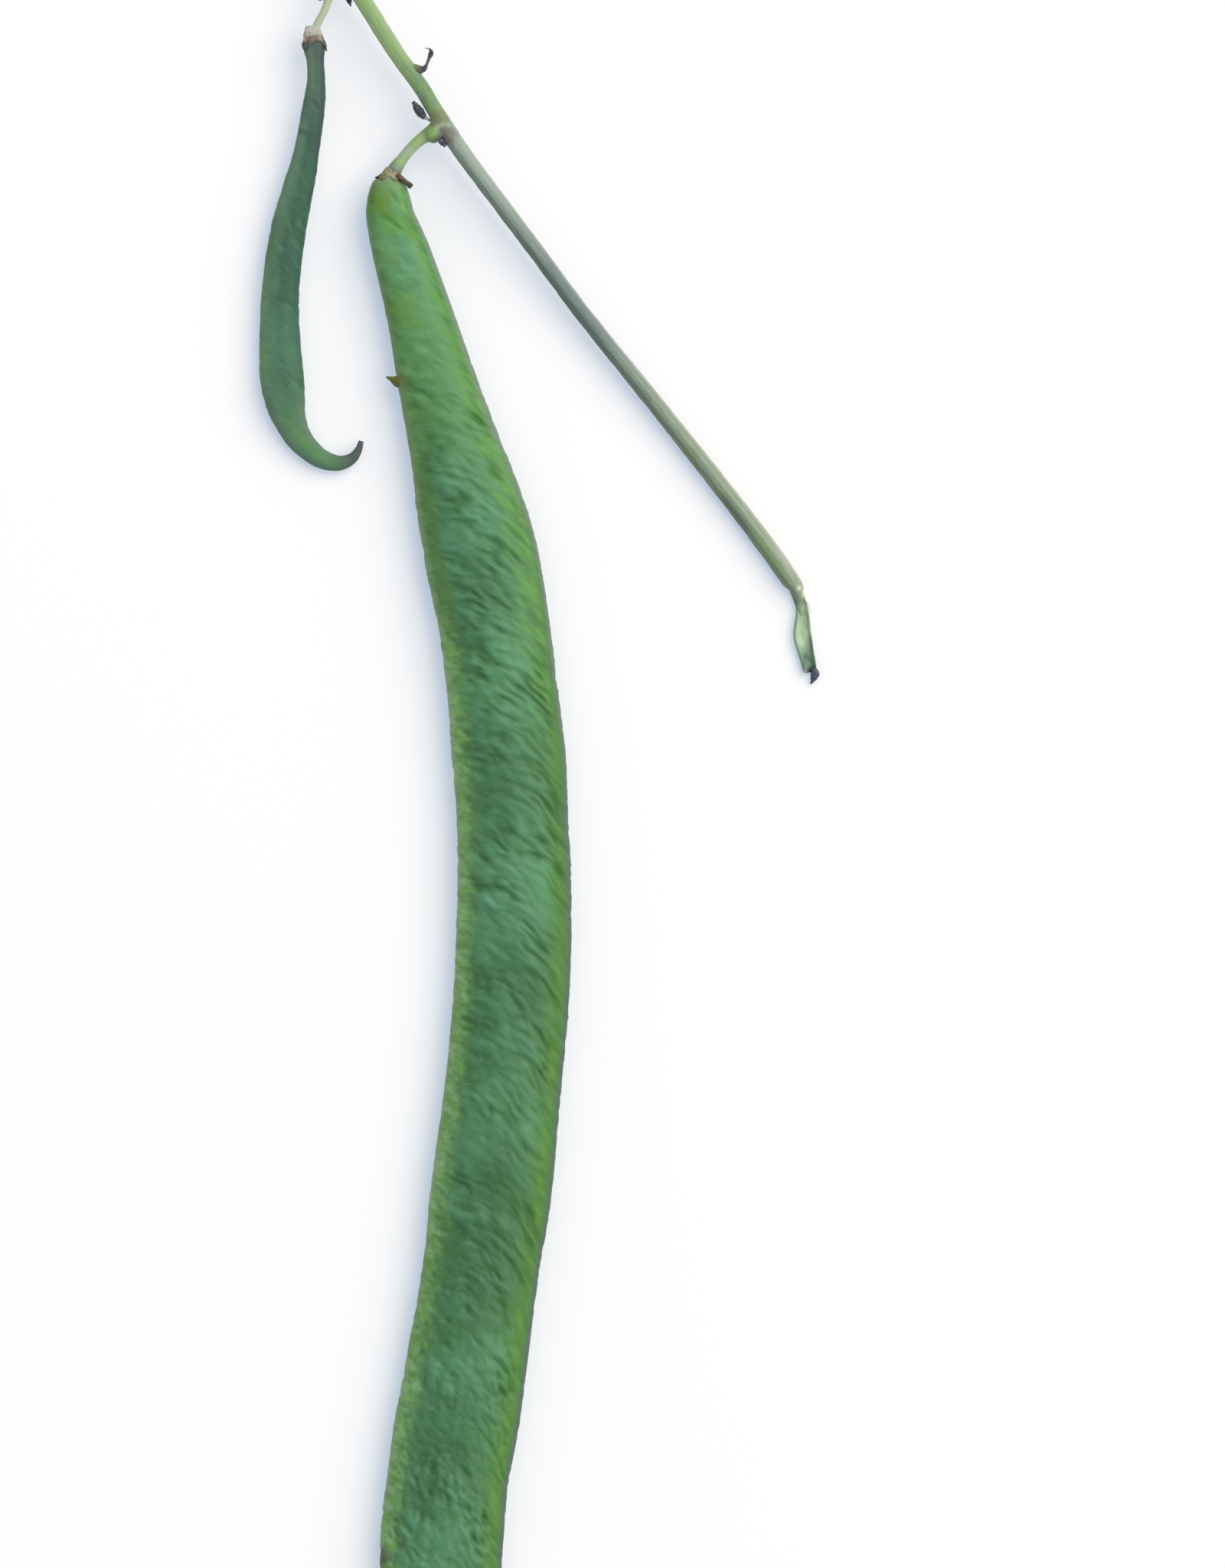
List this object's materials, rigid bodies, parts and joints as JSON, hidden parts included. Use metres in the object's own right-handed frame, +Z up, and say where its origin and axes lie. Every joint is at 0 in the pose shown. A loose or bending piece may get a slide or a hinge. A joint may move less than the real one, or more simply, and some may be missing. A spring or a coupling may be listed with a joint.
{
  "type": "flat bean",
  "caption": "Picked runner beans on their stalk: a long flat wrinkled pod and a small hooked pod, with withered flower remains, lying flat.",
  "frame": {"origin": "on the table under the middle of the whole truss's box, at the height of the spots that the long pod rests on", "axes": "+Z up from the table; +Y from the long pod's beak to its neck; +X to the side where the torn end of the stalk lies"},
  "size_m": [0.0972, 0.337, 0.0088],
  "materials": {
    "pod_skin": "wrinkled green skin with a soft satin sheen",
    "young_pod_skin": "smooth dull green skin with fine down",
    "stalk_skin": "ribbed pale green stalk, satin",
    "dry_calyx": "dry papery olive brown",
    "withered_flower": "dry shrivelled, nearly black"
  },
  "bodies": {
    "root": {"long_pod": "pod_skin", "small_pod": "young_pod_skin", "stalk": "stalk_skin", "long_pod_calyx": "dry_calyx", "small_pod_calyx": "dry_calyx", "curled_flower_stem": "withered_flower", "dry_bud": "withered_flower"}
  },
  "joints": []
}
